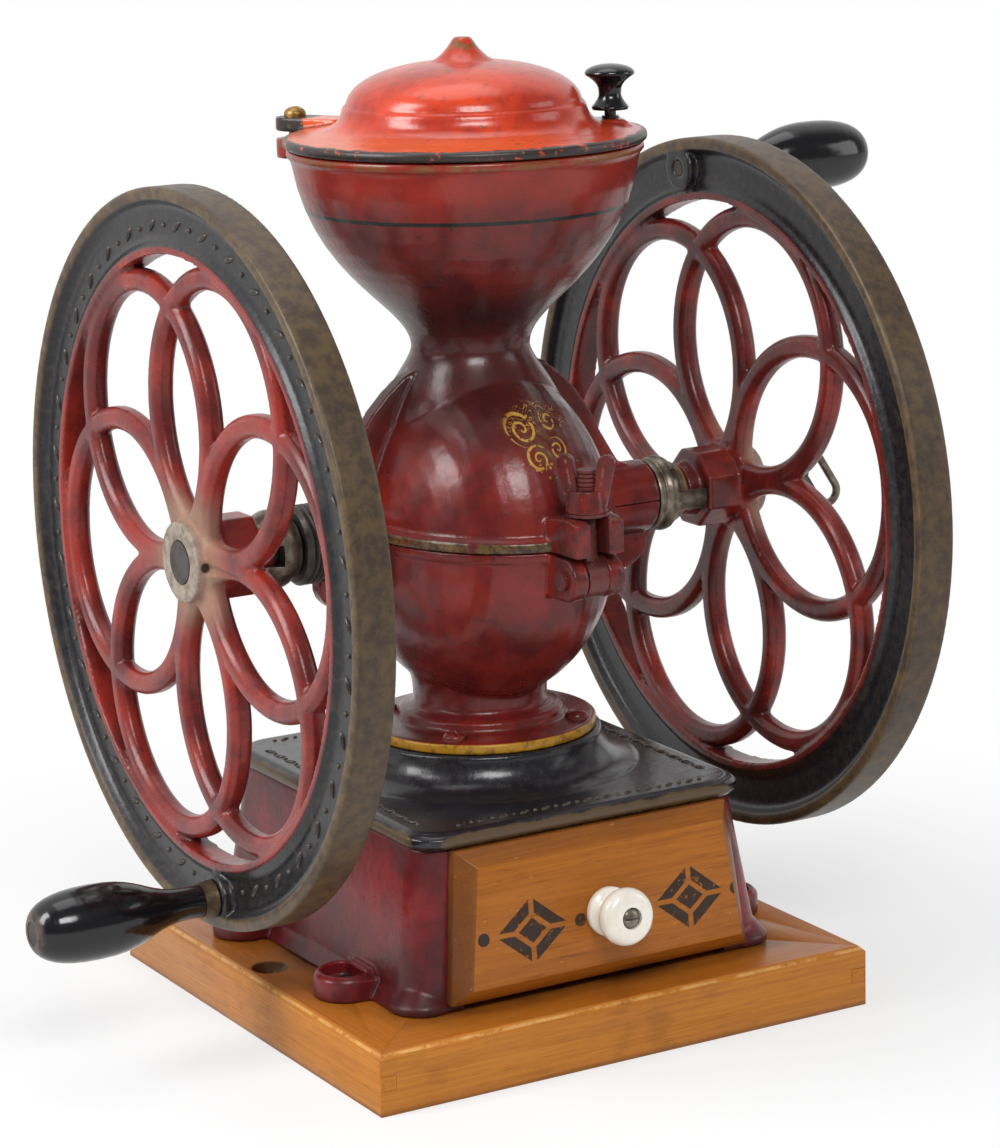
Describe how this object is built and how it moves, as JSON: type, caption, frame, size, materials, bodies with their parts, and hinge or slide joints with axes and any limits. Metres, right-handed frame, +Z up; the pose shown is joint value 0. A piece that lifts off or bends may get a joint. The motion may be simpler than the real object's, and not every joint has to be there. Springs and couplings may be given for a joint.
{
  "type": "coffee_grinder",
  "caption": "Hand-cranked counter coffee mill with flywheels at both ends of its shaft, a lidded hopper over a split round housing, and a drawer base on a wooden board.",
  "frame": {"origin": "bottom centre of the wooden board, on the surface it stands on", "axes": "+X along the shaft to the right seen from the drawer side, the drawer front faces -Y, +Z is up"},
  "size_m": [0.3917, 0.273, 0.3668],
  "materials": {
    "waxed_wood": "waxed, worn at the edges",
    "drawer_wood": "waxed, sawn inside",
    "crimson_paint": "old gloss enamel, chipped",
    "orange_paint": "gloss enamel, chipped at the edge",
    "black_paint": "old enamel, worn to brown iron at the rims",
    "plain_iron": "bare, oiled",
    "old_steel": "dull, stained",
    "old_brass": "tarnished",
    "white_china": "glazed china",
    "black_lacquer": "glossy black lacquer",
    "brown_ferrule": "brown with age"
  },
  "bodies": {
    "stand": {"board_panel": "waxed_wood", "board_front_rail": "waxed_wood", "board_back_rail": "waxed_wood", "board_left_rail": "waxed_wood", "board_right_rail": "waxed_wood", "drawer_runners": "drawer_wood", "base_case": "crimson_paint", "top_plate": "black_paint", "foot_screws": "plain_iron", "plate_screws": "plain_iron", "lower_housing": "crimson_paint", "upper_housing": "crimson_paint", "flange_screws": "crimson_paint", "hinge_pin": "plain_iron", "clamp_pin": "crimson_paint", "lid_pivot_screw": "old_brass", "left_bush": "old_brass", "right_bush": "old_brass", "feed_chute": "plain_iron", "chute_screws": "plain_iron", "fixed_burr": "plain_iron", "thread_collar": "plain_iron"},
    "drawer": {"drawer_front": "waxed_wood", "drawer_left_side": "drawer_wood", "drawer_right_side": "drawer_wood", "drawer_back": "drawer_wood", "drawer_bottom": "drawer_wood", "drawer_knob": "white_china", "drawer_knob_screw": "old_steel"},
    "lid": {"lid": "orange_paint", "lid_knob": "black_lacquer", "lid_knob_stem": "plain_iron"},
    "clamp_bolt": {"clamp_bolt": "plain_iron"},
    "clamp_washer": {"clamp_washer": "plain_iron"},
    "wing_nut": {"wing_nut": "crimson_paint"},
    "thrust_washer": {"thrust_washer": "old_brass"},
    "shaft": {"shaft": "old_steel", "feed_worm": "plain_iron", "turning_burr": "plain_iron", "burr_key": "old_steel", "left_ball_nut": "old_steel", "left_wheel": "black_paint", "right_wheel": "black_paint", "hub_pins": "plain_iron", "regulating_screw": "old_steel", "left_spindle": "plain_iron", "right_spindle": "plain_iron"},
    "adjusting_nut": {"adjusting_nut": "old_steel"},
    "left_grip": {"left_grip": "black_lacquer", "left_ferrule": "brown_ferrule"},
    "right_grip": {"right_grip": "black_lacquer", "right_ferrule": "brown_ferrule"}
  },
  "joints": [
    {"name": "shaft_slide", "type": "slide", "parent": "stand", "child": "thrust_washer", "axis": [1, 0, 0], "range_m": [-0.00045, 0.00045]},
    {"name": "shaft_spin", "type": "hinge", "parent": "thrust_washer", "child": "shaft", "pos_m": [0, 0, 0.1845], "axis": [1, 0, 0], "continuous": true},
    {"name": "adjusting_nut_turn", "type": "hinge", "parent": "stand", "child": "adjusting_nut", "pos_m": [0.082, 0, 0.1845], "axis": [1, 0, 0], "range_deg": [-110, 110]},
    {"name": "left_grip_spin", "type": "hinge", "parent": "shaft", "child": "left_grip", "pos_m": [-0.16, -0.01523, 0.06043], "axis": [1, 0, 0], "continuous": true},
    {"name": "right_grip_spin", "type": "hinge", "parent": "shaft", "child": "right_grip", "pos_m": [0.16, 0.02278, 0.30741], "axis": [1, 0, 0], "continuous": true},
    {"name": "drawer_slide", "type": "slide", "parent": "stand", "child": "drawer", "axis": [0, -1, 0], "range_m": [0, 0.115]},
    {"name": "lid_swivel", "type": "hinge", "parent": "stand", "child": "lid", "pos_m": [-0.03811, 0.06343, 0.33], "axis": [0, 0, 1], "range_deg": [-120, 120]},
    {"name": "clamp_swing", "type": "hinge", "parent": "stand", "child": "clamp_bolt", "pos_m": [0.00395, -0.0754, 0.1755], "axis": [0.9986, 0.0523, 0], "range_deg": [0, 110]},
    {"name": "nut_travel", "type": "slide", "parent": "clamp_bolt", "child": "clamp_washer", "axis": [0, 0, 1], "range_m": [0, 0.003]},
    {"name": "wing_nut_turn", "type": "hinge", "parent": "clamp_washer", "child": "wing_nut", "pos_m": [0.00395, -0.0754, 0.2], "axis": [0, 0, 1], "range_deg": [-1, 721]}
  ],
  "couplings": [
    {"joint": "adjusting_nut_turn", "follows": "shaft_slide", "rad_per_m": 4188.8},
    {"joint": "wing_nut_turn", "follows": "nut_travel", "rad_per_m": 4188.8}
  ]
}
